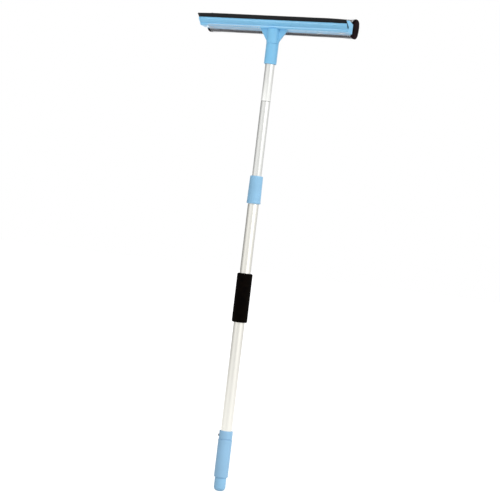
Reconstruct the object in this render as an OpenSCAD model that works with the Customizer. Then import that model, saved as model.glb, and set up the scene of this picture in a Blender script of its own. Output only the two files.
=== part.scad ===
// Telescopic window squeegee: a rubber blade on the front of its head and a netted sponge on the back.
// The pole runs along +Z with the head on top, the head's width lies along X, and the blade faces -Y.
// The origin is the centre of the small flat at the pole's bottom end. Sizes are in millimetres.

/* [Tubes] */
// Outside diameter of the lower, outer tube
outer_tube_d = 22; // [21.5:0.1:22.5]
// Outside diameter of the upper, sliding tube
inner_tube_d = 19; // [18.6:0.1:19.2]
// Wall of both tubes
tube_wall = 0.7; // [0.6:0.05:0.8]
// Height of the sliding tube's lower end, as the pole stands
inner_tube_bottom = 432; // [400:1:470]
// Height of the joint between the two lengths of the sliding tube
tube_joint_z = 785; // [760:1:810]

/* [Handle end] */
// Height of the end cap below the hand grip
end_cap_h = 28; // [24:1:34]
// Diameter of the end cap
end_cap_d = 23.5; // [22.5:0.5:25]
// Diameter of the hand grip
hand_grip_d = 28; // [27:0.5:30]
// Height of the seam between the hand grip and its top ring
grip_seam_z = 104; // [98:1:108]
// Height of the hand grip's top
grip_top_z = 121; // [118:1:126]

/* [Foam grip] */
// Height of the foam grip's lower end
foam_bottom_z = 340; // [300:5:380]
// Length of the foam grip
foam_len = 98.5; // [80:0.5:120]
// Diameter of the foam grip
foam_d = 31.2; // [28:0.2:34]

/* [Lock collar] */
// Height of the collar's lower end
collar_bottom_z = 579; // [560:1:600]
// Length of the collar
collar_len = 55.6; // [52:0.2:60]
// Diameter of the collar just above its rim, and at its top
collar_d = 27.4; // [27:0.2:30]
collar_top_d = 25.8; // [25.4:0.2:27]
// Eccentricity of the cam's journal, and of the cam on it
cam_offset = 0.6; // [0.55:0.01:0.65]

/* [Pole tip] */
// Height of the pole tip's lower end
tip_bottom_z = 860; // [840:1:870]
// Height of the seam between the pole tip and the head
seam_z = 901; // [896:1:904]
// Diameter of the pole tip's sleeve
tip_d = 25; // [24:0.1:25.4]
// Length of the threaded stub that the head screws onto
stub_len = 26; // [20:1:27]

/* [Head] */
// Width of the head and its blade
head_w = 331; // [300:1:360]
// Diameter of the head's neck
neck_d = 25.5; // [25:0.1:27]
// Height of the front edge of the head's underside, which slopes down to the back
underside_z = 931.2; // [930.8:0.1:931.6]
// Lean of the blade towards the front, in degrees
blade_lean = 41.7; // [40:0.1:43]
// Height of the rubber strip, from its bead to its edge
blade_h = 20.7; // [18:0.1:22]
// Thickness of the rubber strip
blade_t = 2.4; // [2:0.1:2.6]

/* [Sponge and net] */
// Length of the sponge
sponge_len = 330; // [290:1:331]
// Thickness of the sponge, front to back
sponge_t = 24.2; // [22:0.2:26]
// Height of the sponge
sponge_h = 37; // [34:0.5:40]
// Length of the net cover
net_len = 320; // [280:1:324]
// Thickness of the net
net_t = 0.7; // [0.5:0.1:1]

/* [Hidden] */
$fn = 96;

plastic_blue = [0.57, 0.78, 0.92];
near_black = [0.07, 0.07, 0.07];

outer_r = outer_tube_d / 2;
outer_bore_r = outer_r - tube_wall;
inner_r = inner_tube_d / 2;
inner_bore_r = inner_r - tube_wall;

// The outer tube's top, and the bead rolled into it that stops the sliding tube
outer_tube_top = collar_bottom_z + 41;
bead_z = collar_bottom_z + 5;
bead_depth = 0.5;
bead_half = 1.6;

// The pocket in the collar that holds the guide bush
bush_fit = 0.05;
bush_seat_fit = 0.08;
bush_wall = 2.2;
pocket_bottom = outer_tube_top + 1;
pocket_h = 10;
pocket_r = inner_r + bush_fit + bush_wall + bush_seat_fit;
collar_mouth_r = inner_r + 0.4;

// The eccentric twist lock below the sliding tube
flange_h = 4;
flange_r = outer_bore_r - 0.3;
journal_r = 5;
journal_len = 24;
cam_r = outer_bore_r - 1;
cam_wall_gap = 0.04;
cam_half_angle = acos((outer_bore_r - cam_r - cam_wall_gap) / (2 * cam_offset));
journal_at = cam_offset * [cos(cam_half_angle), sin(cam_half_angle)];
cam_at = journal_at + cam_offset * [cos(cam_half_angle), -sin(cam_half_angle)];
flange_bottom = inner_tube_bottom - flange_h;
journal_bottom = flange_bottom - journal_len;
cam_len = journal_len - 1;

// The threaded stub and the socket that takes it
stub_core_r = 8;
thread_depth = 1;
thread_pitch = 3.5;
socket_r = stub_core_r + thread_depth + 0.35;

// The blade's own axes in the Y-Z plane: up the blade, and out of its front face
up_blade = [-sin(blade_lean), cos(blade_lean)];
off_blade = [-cos(blade_lean), -sin(blade_lean)];
blade_root = [-9.2, 938.3];
bead_w = 4;
bead_h = 2.6;
slot_gap = 0.05;
lip_up = 12.1;
lip_t = 1.9;
lip_round = 1;
shoulder_up = 10.6;

// The head's outline in the Y-Z plane
crease = [-10.7, 935.9];
band_bottom = [-8, underside_z];
underside_slope = 0.085;
band_down = unit(band_bottom - crease);
band_out = [band_down[1], -band_down[0]];
body_back_y = 12;
body_back_top = [12.5, 949.5];
ridge = [-8, 954];
neck_top_z = 931.8;
neck_top_round = 3;
wing_t = 5;
wing_y = 1;

// The sponge's oval, which leans back a little, and the carrier that it is bonded to
sponge_centre = [32.4, 943.4];
sponge_lean = 8;
oval_power = 2.7;
sponge_step = 6;
carrier_back_y = 20.3;
carrier_len = 318;
net_gap = 0.12;

// Wire staples that pin the net under the body and on its top: X and Y of those on the right
under_staples = [[98, 8], [152, -3]];
top_staples = [[60, 8], [150, 8]];
top_slope = atan2(body_back_top[1] - ridge[1], body_back_top[0] - ridge[0]);
staple_w = 11;
staple_wire_r = 0.45;
staple_leg = 4.2;

function unit(v) = v / norm(v);

// A fillet of radius r at corner b of the path a-b-c
function fillet(a, b, c, r, steps = 6) =
    let (u = unit(a - b), w = unit(c - b), half = acos(max(-1, min(1, u * w))) / 2,
         centre = b + unit(u + w) * r / sin(half),
         first = b + u * r / tan(half) - centre, last = b + w * r / tan(half) - centre,
         start = atan2(first[1], first[0]),
         turn = (atan2(last[1], last[0]) - start + 540) % 360 - 180)
    [for (i = [0:steps]) centre + r * [cos(start + turn * i / steps), sin(start + turn * i / steps)]];

// A closed outline from corners given as [x, y, fillet radius]
function rounded(corners) =
    let (n = len(corners), at = [for (c = corners) [c[0], c[1]]])
    [for (i = [0:n - 1]) each corners[i][2] == 0 ? [at[i]]
        : fillet(at[(i + n - 1) % n], at[i], at[(i + 1) % n], corners[i][2])];

// A point on the sponge's oval, grown by a margin
function oval(angle, grow) =
    let (c = cos(angle), s = sin(angle),
         across = (sponge_t / 2 + grow) * sign(c) * pow(abs(c), 2 / oval_power),
         along = (sponge_h / 2 + grow) * sign(s) * pow(abs(s), 2 / oval_power))
    sponge_centre + [across * cos(sponge_lean) + along * sin(sponge_lean),
                     along * cos(sponge_lean) - across * sin(sponge_lean)];

// Both sides of an open path, a thickness t apart, as one closed outline
function band(path, t) =
    let (n = len(path),
         side = [for (i = [0:n - 1])
             let (d = unit(path[min(i + 1, n - 1)] - path[max(i - 1, 0)])) [-d[1], d[0]] * t / 2])
    concat([for (i = [0:n - 1]) path[i] + side[i]], [for (i = [n - 1:-1:0]) path[i] - side[i]]);

// Height of the head's underside at a distance back
function underside_at(y) = underside_z - underside_slope * (y - band_bottom[0]);

// A point given up the blade and off its middle plane
function on_blade(up, off) = blade_root + up_blade * up + off_blade * off;

// A prism along X from an outline in the Y-Z plane
module across_head(length) rotate([90, 0, 90]) linear_extrude(height = length, center = true) children();

// A ring or a tube between two radii
module tube(bottom, top, bore, r) translate([0, 0, bottom]) difference() {
    cylinder(h = top - bottom, r = r);
    translate([0, 0, -1]) cylinder(h = top - bottom + 2, r = bore);
}

// ---------- handle end ----------

module end_cap() {
    spigot_top = end_cap_h + 20;
    cup_r = outer_bore_r - 2.2;
    color(plastic_blue) rotate_extrude() polygon(concat(
        [[0, 0]], fillet([0, 0], [end_cap_d / 2, 0], [end_cap_d / 2, end_cap_h], 8, 10),
        [[end_cap_d / 2, end_cap_h], [outer_bore_r, end_cap_h], [outer_bore_r, spigot_top],
         [cup_r, spigot_top], [cup_r, 6], [0, 6]]));
}

// The bead rolled inwards near the top is hidden by the collar, which snaps into it
module outer_tube() {
    bead_low = bead_z - bead_half;
    bead_high = bead_z + bead_half;
    color("gainsboro") rotate_extrude() polygon([
        [outer_bore_r, end_cap_h], [outer_r, end_cap_h], [outer_r, bead_low],
        [outer_r - bead_depth, bead_z], [outer_r, bead_high], [outer_r, outer_tube_top],
        [outer_bore_r, outer_tube_top], [outer_bore_r, bead_high],
        [outer_bore_r - bead_depth, bead_z], [outer_bore_r, bead_low]]);
}

module hand_grip() {
    r = hand_grip_d / 2;
    color(plastic_blue) rotate_extrude() polygon(rounded([
        [outer_r, end_cap_h, 0], [r, end_cap_h, 1.2], [r, grip_seam_z - 0.2, 0.8],
        [outer_r, grip_seam_z - 0.2, 0]]));
}

module grip_ring() {
    r = hand_grip_d / 2 - 0.5;
    color(plastic_blue) difference() {
        rotate_extrude() polygon(rounded([
            [outer_r, grip_seam_z, 0], [r - 0.5, grip_seam_z, 0], [r, grip_seam_z + 2, 1],
            [r, grip_top_z, 0.8], [outer_r, grip_top_z, 0]]));
        at_grip_screw() cylinder(h = 6, r = 1.6);
    }
}

// Places its children at the side screw, with +Z pointing out of the ring
module at_grip_screw() {
    screw_turn = 207;
    screw_z = (grip_seam_z + grip_top_z) / 2 - 1;
    rotate([0, 0, screw_turn]) translate([outer_r - 0.2, 0, screw_z]) rotate([0, 90, 0]) children();
}

module grip_screw() {
    head_at = hand_grip_d / 2 - outer_r - 0.3;
    color("dimgray") at_grip_screw() {
        translate([0, 0, 0.3]) cylinder(h = head_at + 0.2, r = 1.55);
        translate([0, 0, head_at]) difference() {
            rotate_extrude() polygon(rounded([[0, 0, 0], [2.3, 0, 0], [2.3, 2, 1.2], [0, 2, 0]]));
            for (turn = [0, 90]) rotate([0, 0, turn]) translate([-1.3, -0.3, 1.2]) cube([2.6, 0.6, 1]);
        }
    }
}

module foam_grip() {
    color(near_black) rotate_extrude() polygon(rounded([
        [outer_r, foam_bottom_z, 0], [foam_d / 2, foam_bottom_z, 2.5],
        [foam_d / 2, foam_bottom_z + foam_len, 2.5], [outer_r, foam_bottom_z + foam_len, 0]]));
}

// ---------- twist lock ----------

module lock_collar() {
    r = collar_d / 2;
    top_r = collar_top_d / 2;
    top = collar_bottom_z + collar_len;
    pocket_top = pocket_bottom + pocket_h;
    color(plastic_blue) rotate_extrude() polygon(concat(
        [[outer_r, collar_bottom_z]],
        fillet([outer_r, collar_bottom_z], [r + 0.4, collar_bottom_z], [r + 0.4, collar_bottom_z + 3], 1),
        [[r + 0.4, collar_bottom_z + 3], [r, collar_bottom_z + 4.5]],
        fillet([r, collar_bottom_z + 4.5], [top_r, top], [0, top], 1.8),
        [[collar_mouth_r, top], [collar_mouth_r, pocket_top], [pocket_r, pocket_top],
         [pocket_r, pocket_bottom], [collar_mouth_r + 0.1, pocket_bottom],
         [collar_mouth_r + 0.1, outer_tube_top], [outer_r, outer_tube_top],
         [outer_r, bead_z + bead_half], [outer_r - bead_depth + 0.05, bead_z],
         [outer_r, bead_z - bead_half]]));
}

// Nylon ring that turns in the collar with the sliding tube
module guide_bush() {
    end_play = 0.3;
    color("ivory") tube(pocket_bottom + end_play, pocket_bottom + pocket_h - end_play,
        inner_r + bush_fit, pocket_r - bush_seat_fit);
}

module lock_plug() {
    spigot_h = 30;
    screw_hole_h = 14;
    color(near_black) difference() {
        union() {
            translate([0, 0, inner_tube_bottom]) cylinder(h = spigot_h, r = inner_bore_r);
            translate([0, 0, flange_bottom]) cylinder(h = flange_h, r = flange_r);
            translate([journal_at[0], journal_at[1], journal_bottom]) cylinder(h = journal_len, r = journal_r);
        }
        translate([journal_at[0], journal_at[1], journal_bottom - 1]) cylinder(h = screw_hole_h + 1, r = 1.6);
    }
}

// Eccentric ring: turned one way on its journal it jams against the outer tube, the other way it frees
module lock_cam() {
    bore_fit = 0.05;
    end_play = 0.5;
    color("ivory") difference() {
        translate([cam_at[0], cam_at[1], journal_bottom + end_play]) cylinder(h = cam_len, r = cam_r);
        translate([journal_at[0], journal_at[1], journal_bottom - 1])
            cylinder(h = journal_len + 2, r = journal_r + bore_fit);
    }
}

module cam_washer() {
    washer_r = 8;
    washer_h = 1.2;
    color("silver") translate([journal_at[0], journal_at[1], 0])
        tube(journal_bottom - washer_h, journal_bottom, 1.7, washer_r);
}

module cam_screw() {
    under_head = journal_bottom - 1.2;
    head_h = 2.2;
    color("dimgray") translate([journal_at[0], journal_at[1], 0]) difference() {
        union() {
            translate([0, 0, under_head]) cylinder(h = 14, r = 1.6);
            translate([0, 0, under_head - head_h]) cylinder(h = head_h, r = 3);
        }
        for (turn = [0, 90]) translate([0, 0, under_head - head_h]) rotate([0, 0, turn])
            translate([-1.8, -0.4, -1]) cube([3.6, 0.8, 2.2]);
    }
}

// ---------- sliding tube and pole tip ----------

joint_flange = 0.6;

module inner_tube() {
    color("gainsboro") tube(inner_tube_bottom, tube_joint_z - joint_flange / 2, inner_bore_r, inner_r);
}

// Plug inside the joint, with the thin flange that shows as a dark line round the pole
module tube_connector() {
    half = 25;
    color(near_black) difference() {
        union() {
            translate([0, 0, tube_joint_z - half]) cylinder(h = 2 * half, r = inner_bore_r);
            translate([0, 0, tube_joint_z - joint_flange / 2]) cylinder(h = joint_flange, r = inner_r);
        }
        translate([0, 0, tube_joint_z - half - 1]) cylinder(h = 2 * half + 2, r = inner_bore_r - 2);
    }
}

neck_tube_top = seam_z - 8;

module neck_tube() {
    color("gainsboro") tube(tube_joint_z + joint_flange / 2, neck_tube_top, inner_bore_r, inner_r);
}

// The stub's thread is shown as rings of the thread's depth and pitch
module pole_tip() {
    r = tip_d / 2;
    turns = floor((stub_len - 3) / thread_pitch);
    crest_r = stub_core_r + thread_depth;
    thread = [for (i = [0:turns - 1], p = [[stub_core_r, 0], [crest_r, 0.9], [crest_r, 1.5],
                                           [stub_core_r, 2.4]])
        [p[0], seam_z + 2 + i * thread_pitch + p[1]]];
    color(plastic_blue) rotate_extrude() polygon(concat(
        [[inner_r, tip_bottom_z]],
        fillet([inner_r, tip_bottom_z], [r, tip_bottom_z], [r, seam_z], 1.2),
        [[r, seam_z - 0.4], [r - 0.4, seam_z], [stub_core_r, seam_z]], thread,
        [[stub_core_r, seam_z + stub_len - 1], [stub_core_r - 1, seam_z + stub_len],
         [0, seam_z + stub_len], [0, neck_tube_top], [inner_r, neck_tube_top]]));
}

// ---------- head ----------

module blade_outline(gap) {
    edge = blade_t / 2 + gap;
    foot = bead_w / 2 + gap;
    polygon([on_blade(-gap, foot), on_blade(-gap, -foot), on_blade(bead_h + gap, -foot),
             on_blade(bead_h + gap + 0.8, -edge), on_blade(blade_h, -edge + 0.2), on_blade(blade_h, edge - 0.2),
             on_blade(bead_h + gap + 0.8, edge), on_blade(bead_h + gap, foot)]);
}

module body_outline() {
    lip_out = on_blade(lip_up, blade_t / 2 + lip_t);
    lip_in = on_blade(lip_up, blade_t / 2);
    shoulder = on_blade(shoulder_up, -blade_t / 2);
    polygon(rounded([
        [lip_out[0], lip_out[1], lip_round], [crease[0], crease[1], 1.5],
        [band_bottom[0], band_bottom[1], 0.8], [body_back_y, underside_at(body_back_y), 0.8],
        [body_back_top[0], body_back_top[1], 2.5],
        [ridge[0], ridge[1], 2.2], [shoulder[0], shoulder[1], 0], [lip_in[0], lip_in[1], 0]]));
}

// Round neck, cut off where it would stand out behind the body
module neck() difference() {
    rotate_extrude() polygon(rounded([[0, seam_z, 0], [neck_d / 2, seam_z, 0],
        [neck_d / 2, neck_top_z, neck_top_round], [0, neck_top_z, 0]]));
    translate([-neck_d, body_back_y, underside_at(neck_d / 2) - 0.05]) cube([2 * neck_d, neck_d, neck_d]);
}

// Gusset from the neck out to the plate, on the +X side
module wing() {
    foot = [neck_d / 2 - 0.2, seam_z + 4];
    shoulder = [28.6, underside_z - 3];
    tip = [30.6, underside_z + 1];
    translate([0, wing_y, 0]) rotate([90, 0, 0]) linear_extrude(height = wing_t, center = true) polygon(concat(
        [[0, seam_z + 2], [neck_d / 2 - 1, seam_z + 2]],
        fillet([neck_d / 2 - 0.5, seam_z], foot, shoulder, 12), fillet(foot, shoulder, tip, 4),
        [tip, [0, underside_z + 1]]));
}

// Pockets that lighten the back of the body; the carrier's pegs go into them
pocket_w = 36;
pocket_step = 40;
pockets_per_side = 3;
first_pocket_x = 60;
pocket_front_y = -3;
pocket_z = [936.5, 947];

// Places its children at the middle of each pocket's width
module at_pockets() {
    for (side = [-1, 1], i = [0:pockets_per_side - 1])
        translate([side * (first_pocket_x + i * pocket_step), 0, 0]) children();
}

module body_pockets() {
    at_pockets() translate([-pocket_w / 2, pocket_front_y, pocket_z[0]])
        cube([pocket_w, body_back_y + 2 - pocket_front_y, pocket_z[1] - pocket_z[0]]);
}

module head_body() {
    color(plastic_blue) difference() {
        union() {
            across_head(head_w) body_outline();
            neck();
            wing();
            mirror([1, 0, 0]) wing();
        }
        across_head(head_w + 2) blade_outline(slot_gap);
        translate([0, 0, seam_z - 1]) cylinder(h = stub_len + 2.5, r = socket_r);
        body_pockets();
        staples(0.02);
    }
}

module rubber_blade() {
    color(near_black) across_head(head_w) blade_outline(0);
}

// Bar that fills the space behind the body and carries the sponge; its pegs sit in the pockets
module sponge_carrier() {
    top_z = 947.5;
    peg = [10, 7, 6];
    color(plastic_blue) {
        across_head(carrier_len) polygon(rounded([
            [body_back_y + 0.05, underside_at(body_back_y), 0],
            [carrier_back_y, underside_at(carrier_back_y), 1],
            [carrier_back_y, top_z, 1.5], [body_back_y + 0.55, top_z, 0]]));
        at_pockets() translate([-peg[0] / 2, body_back_y - peg[1] + 0.5, 938.5]) cube(peg);
    }
}

module sponge() {
    color([0.16, 0.09, 0.1]) across_head(sponge_len) intersection() {
        polygon([for (angle = [0:sponge_step:359]) oval(angle, 0)]);
        translate([carrier_back_y + 0.02, 900]) square([60, 100]);
    }
}

// ---------- net ----------

// The net runs from just under the crease along the body, round the sponge and back to the body's top edge
function net_path() =
    let (off = net_t / 2 + net_gap, low = underside_at(carrier_back_y) - off,
         edge = crease + band_down + band_out * off,
         corner = band_bottom + band_out * off - band_down * off * (1 + band_out[1]) / band_down[1])
    concat([edge], fillet(edge, corner, [carrier_back_y, low], 1), [[carrier_back_y, low]],
        [for (angle = [-120:sponge_step:132]) oval(angle, off)],
        [body_back_top + [0, off + 0.2], body_back_top + [0, off + 0.2] + 7 * unit(ridge - body_back_top)]);

module net_cover() {
    neck_gap_x = 2 * 34;
    color("white") difference() {
        across_head(net_len) polygon(band(net_path(), net_t));
        translate([-neck_gap_x / 2, -20, underside_z - 10]) cube([neck_gap_x, 33.5, 20]);
        staples(0.02);
    }
}

// One staple with its crown along X at the origin and its legs along +Z
module staple(grow) {
    r = staple_wire_r + grow;
    translate([-staple_w / 2, 0, 0]) rotate([0, 90, 0]) cylinder(h = staple_w, r = r, $fn = 24);
    for (end = [-1, 1]) translate([end * (staple_w / 2 - staple_wire_r), 0, 0])
        cylinder(h = staple_leg, r = r, $fn = 24);
}

// Staples go through the net into the body, from below and from above
module staples(grow) {
    above = net_gap + net_t + staple_wire_r + 0.15;
    for (side = [-1, 1]) {
        for (place = under_staples)
            translate([side * place[0], place[1], underside_at(place[1]) - above]) staple(grow);
        for (place = top_staples)
            translate([side * place[0], body_back_top[0], body_back_top[1]]) rotate([top_slope, 0, 0])
                translate([0, place[1] - body_back_top[0], above]) rotate([180, 0, 0]) staple(grow);
    }
}

module net_staples() color("silver") staples(0);

end_cap();
outer_tube();
hand_grip();
grip_ring();
grip_screw();
foam_grip();
lock_collar();
guide_bush();
inner_tube();
tube_connector();
neck_tube();
pole_tip();
lock_plug();
lock_cam();
cam_washer();
cam_screw();
head_body();
rubber_blade();
sponge_carrier();
sponge();
net_cover();
net_staples();
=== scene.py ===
"""Looks of a telescopic window squeegee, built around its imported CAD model.

Blender works in metres. Outlines here are in millimetres, as (radius, height) round the pole and
as (y, z) across the head, and most of their sizes are read from the CAD nodes.
"""
import math

import bmesh
import bpy
import numpy as np
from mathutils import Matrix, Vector, noise


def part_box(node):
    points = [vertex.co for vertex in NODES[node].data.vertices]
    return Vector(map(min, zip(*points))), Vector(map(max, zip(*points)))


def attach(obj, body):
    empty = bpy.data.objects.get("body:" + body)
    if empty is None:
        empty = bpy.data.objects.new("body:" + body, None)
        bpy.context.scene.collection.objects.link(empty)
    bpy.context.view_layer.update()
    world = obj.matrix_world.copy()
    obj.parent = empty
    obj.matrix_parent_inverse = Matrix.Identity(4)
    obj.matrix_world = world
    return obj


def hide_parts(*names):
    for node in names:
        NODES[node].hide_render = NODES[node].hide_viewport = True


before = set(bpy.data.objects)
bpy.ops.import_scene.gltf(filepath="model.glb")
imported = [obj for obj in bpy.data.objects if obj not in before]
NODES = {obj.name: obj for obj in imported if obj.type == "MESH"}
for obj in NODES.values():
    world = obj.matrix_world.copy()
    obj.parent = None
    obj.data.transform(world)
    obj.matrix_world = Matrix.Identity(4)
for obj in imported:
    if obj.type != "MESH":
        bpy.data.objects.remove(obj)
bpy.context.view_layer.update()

MM = 0.001
SEED = 7


# ---------- sizes read from the frame ----------

def box_mm(node):
    """Lowest and highest corner of a CAD node, in millimetres."""
    low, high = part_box(node)
    return low / MM, high / MM


def round_size(node):
    """Bottom, top and radius of a CAD node that is round about the pole, in millimetres."""
    low, high = box_mm(node)
    return low.z, high.z, high.y


TUBE_R, SLIDE_R, TUBE_WALL = round_size("outer_tube")[2], round_size("inner_tube")[2], 0.7
HEAD_HALF = box_mm("head_body")[1].x
NECK_R, NECK_BOTTOM_Z, NECK_TOP_Z = 12.75, box_mm("head_body")[0].z, 931.8
SEAM_GAP = 0.05


# ---------- outlines ----------

def unit(v):
    return v / np.linalg.norm(v)


def fillet(before, corner, after, radius, steps=8):
    """The arc that rounds a corner of an outline."""
    a, b, c = (np.array(p, float) for p in (before, corner, after))
    u, w = unit(a - b), unit(c - b)
    half = math.acos(max(-1, min(1, float(u @ w)))) / 2
    centre = b + unit(u + w) * radius / math.sin(half)
    first, last = (b + side * radius / math.tan(half) - centre for side in (u, w))
    start = math.atan2(first[1], first[0])
    turn = (math.atan2(last[1], last[0]) - start + 3 * math.pi) % (2 * math.pi) - math.pi
    angles = [start + turn * i / steps for i in range(steps + 1)]
    return [tuple(centre + radius * np.array((math.cos(t), math.sin(t)))) for t in angles]


def rounded(corners, steps=8):
    """A closed outline from corners given as (x, y, fillet radius)."""
    points = []
    for i, (x, y, radius) in enumerate(corners):
        before, after = corners[i - 1][:2], corners[(i + 1) % len(corners)][:2]
        points += fillet(before, (x, y), after, radius, steps) if radius else [(x, y)]
    return points


def resampled(points, step, closed=False):
    """Points about a step apart along a path, with the path's own corners kept."""
    result = []
    ends = points + points[:1] if closed else points
    for a, b in zip(ends, ends[1:]):
        a, b = np.array(a, float), np.array(b, float)
        count = max(1, round(np.linalg.norm(b - a) / step))
        result += [tuple(a + (b - a) * i / count) for i in range(count)]
    return result if closed else result + [tuple(points[-1])]


def grown(points, distance):
    """A closed outline moved outwards (or inwards, if distance is negative) along its corners' normals."""
    p = np.array(points, float)
    area = np.sum(p[:, 0] * np.roll(p[:, 1], -1) - np.roll(p[:, 0], -1) * p[:, 1])
    edge = np.roll(p, -1, 0) - p
    normal = np.stack([edge[:, 1], -edge[:, 0]], 1) * np.sign(area)
    normal /= np.linalg.norm(normal, axis=1)[:, None]
    both = normal + np.roll(normal, 1, 0)
    both /= np.maximum(np.sum(both * normal, 1), 0.35)[:, None]
    return p + both * distance


# ---------- meshes ----------

def add_mesh(name, points, faces, sharp=35):
    """A new smooth mesh object from points in millimetres, its edges sharp above an angle in degrees."""
    mesh = bpy.data.meshes.new(name)
    mesh.from_pydata([Vector(p) * MM for p in points], [], faces)
    made = bmesh.new()
    made.from_mesh(mesh)
    bmesh.ops.recalc_face_normals(made, faces=made.faces)
    made.to_mesh(mesh)
    made.free()
    obj = bpy.data.objects.new(name, mesh)
    bpy.context.scene.collection.objects.link(obj)
    shade(obj, sharp)
    return obj


def shade(obj, sharp=35):
    obj.data.polygons.foreach_set("use_smooth", [True] * len(obj.data.polygons))
    obj.data.set_sharp_from_angle(angle=math.radians(sharp))


def lathe(name, outline, segments=96, shape=None):
    """A mesh turned about the pole's axis. shape(radius, turn, height), if given, sets the points' radii."""
    points, rows = [], []
    for r, z in outline:
        if r < 1e-6:
            rows.append([len(points)] * segments)
            points.append((0, 0, z))
            continue
        rows.append(list(range(len(points), len(points) + segments)))
        for i in range(segments):
            turn = 2 * math.pi * i / segments
            radius = shape(r, turn, z) if shape else r
            points.append((radius * math.cos(turn), radius * math.sin(turn), z))
    faces = []
    for here, there in zip(rows, rows[1:] + rows[:1]):
        for i in range(segments):
            j = (i + 1) % segments
            corners = list(dict.fromkeys((here[i], here[j], there[j], there[i])))
            if len(corners) > 2:
                faces.append(corners)
    return add_mesh(name, points, faces)


def prism(name, outline, half_length, edge, step=20, shape=None):
    """A bar along X with slightly rounded ends. shape(x, y, z), if given, moves each point."""
    arc = [math.pi / 2 * i / 3 for i in range(4)]
    ends = [(half_length - edge * (1 - math.sin(t)), edge * (1 - math.cos(t))) for t in arc]
    count = max(1, round(2 * ends[0][0] / step))
    middle = [(-ends[0][0] + 2 * ends[0][0] * i / count, 0) for i in range(1, count)]
    stations = [(-x, inset) for x, inset in reversed(ends)] + middle + ends
    points, size = [], len(outline)
    for x, inset in stations:
        for y, z in grown(outline, -inset):
            points.append(shape(x, y, z) if shape else (x, y, z))
    faces = [[s * size + i, s * size + (i + 1) % size, (s + 1) * size + (i + 1) % size, (s + 1) * size + i]
             for s in range(len(stations) - 1) for i in range(size)]
    faces += [list(range(size)), list(range((len(stations) - 1) * size, len(stations) * size))]
    return add_mesh(name, points, faces)


def tubes(name, paths, radius, sides=5):
    """Round strands along paths of 3-D points, all in one mesh."""
    points, faces = [], []
    ring = [(math.cos(2 * math.pi * k / sides), math.sin(2 * math.pi * k / sides)) for k in range(sides)]
    for path in paths:
        p = np.array(path, float)
        along = np.gradient(p, axis=0)
        along /= np.linalg.norm(along, axis=1)[:, None]
        side = np.cross(along, (0.31, 0.22, 0.93))
        for i in range(1, len(p)):
            side[i] = side[i - 1] - along[i] * (side[i - 1] @ along[i])
            side[i] /= np.linalg.norm(side[i])
        side[0] /= np.linalg.norm(side[0])
        other = np.cross(along, side)
        base = len(points)
        for i in range(len(p)):
            points += [tuple(p[i] + radius * (c * side[i] + s * other[i])) for c, s in ring]
        for i in range(len(p) - 1):
            here, there = base + i * sides, base + (i + 1) * sides
            faces += [[here + k, here + (k + 1) % sides, there + (k + 1) % sides, there + k]
                      for k in range(sides)]
        end = base + (len(p) - 1) * sides
        faces += [list(range(base, base + sides)), list(range(end, end + sides))]
    return add_mesh(name, points, faces, 60)


def apply_modifiers(obj):
    graph = bpy.context.evaluated_depsgraph_get()
    mesh = bpy.data.meshes.new_from_object(obj.evaluated_get(graph))
    old = obj.data
    obj.modifiers.clear()
    obj.data = mesh
    bpy.data.meshes.remove(old)
    mesh.name = obj.name


def combine(obj, other, operation):
    """Adds another mesh to obj or cuts it out of obj, and deletes it."""
    cut = obj.modifiers.new(operation.title(), "BOOLEAN")
    cut.operation = operation
    cut.object = other
    cut.solver = "EXACT"
    apply_modifiers(obj)
    bpy.data.objects.remove(other)


def remesh(obj, size, smoothing):
    """Melts a mesh into even small faces, so that its inner corners become soft fillets."""
    voxels = obj.modifiers.new("Voxels", "REMESH")
    voxels.mode = "VOXEL"
    voxels.voxel_size = size * MM
    smooth = obj.modifiers.new("Soften", "SMOOTH")
    smooth.factor = 0.5
    smooth.iterations = smoothing
    apply_modifiers(obj)


def finish_piece(obj, body, slot, replaced):
    """Gives a new piece its material, ties it to its CAD body and hides the CAD node it stands for."""
    obj.data.materials.clear()
    obj.data.materials.append(MATERIALS[slot])
    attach(obj, body)
    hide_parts(replaced)
    return obj


# ---------- materials ----------

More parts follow.
